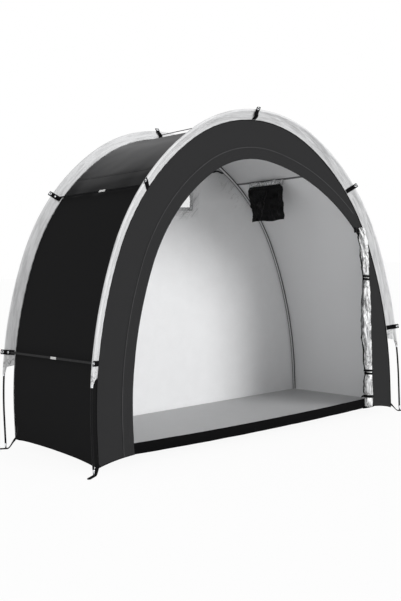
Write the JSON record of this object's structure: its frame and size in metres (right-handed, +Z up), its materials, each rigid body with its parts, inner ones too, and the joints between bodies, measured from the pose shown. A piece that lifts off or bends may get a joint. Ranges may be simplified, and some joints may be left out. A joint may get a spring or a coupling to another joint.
{
  "type": "bicycle storage tent",
  "caption": "Two-arch cloth storage tent with poles in outside sleeves, open arched doorway, rolled door, floor and tie-down straps.",
  "frame": {"origin": "on the ground in the middle of the footprint, level with the tips of the pole pins", "axes": "+X along the tent to the right seen from the doorway, +Y from the doorway to the back, +Z up"},
  "size_m": [2.0674, 0.865, 1.5985],
  "materials": {
    "pole_black": "satin black fibreglass rod",
    "bright_metal": "brushed",
    "sleeve_silver": "silver-coated woven cloth",
    "shell_black": "black woven polyester outside, silver coating inside",
    "front_charcoal": "charcoal woven polyester outside, silver coating inside",
    "floor_silver": "silver-grey coated cloth",
    "binding_black": "black webbing",
    "roll_silver": "crinkled silver coating",
    "clear_film": "clear film",
    "tag_white": "white woven tape"
  },
  "bodies": {
    "root": {"back_arch_pole": "pole_black", "back_left_foot_strap": "binding_black", "back_left_leg": "pole_black", "back_panel": "shell_black", "back_right_foot_strap": "binding_black", "back_right_leg": "pole_black", "back_sleeve": "sleeve_silver", "back_wall_loop": "binding_black", "back_window_binding": "roll_silver", "back_window_pane": "clear_film", "door_corner_patch": "binding_black", "door_sill": "binding_black", "door_storm_flap": "front_charcoal", "door_tie_lower": "binding_black", "door_tie_middle": "binding_black", "door_tie_upper": "binding_black", "eyelets": "bright_metal", "floor_sheet": "floor_silver", "front_arch_pole": "pole_black", "front_left_foot_strap": "binding_black", "front_left_leg": "pole_black", "front_panel": "front_charcoal", "front_right_foot_strap": "binding_black", "front_right_leg": "pole_black", "front_sleeve": "sleeve_silver", "left_lower_cross_strap": "binding_black", "left_lower_tabs": "binding_black", "left_upper_cross_strap": "binding_black", "left_upper_tabs": "binding_black", "left_wall": "shell_black", "pole_ferrules": "bright_metal", "right_lower_cross_strap": "binding_black", "right_lower_tabs": "binding_black", "right_upper_cross_strap": "binding_black", "right_upper_tabs": "binding_black", "right_wall": "shell_black", "rolled_door": "roll_silver", "roof_panel": "shell_black", "strap_tags": "tag_white", "top_cross_strap": "binding_black", "top_tabs": "binding_black", "vent_flap": "binding_black", "vent_flap_roll": "roll_silver"}
  },
  "joints": []
}
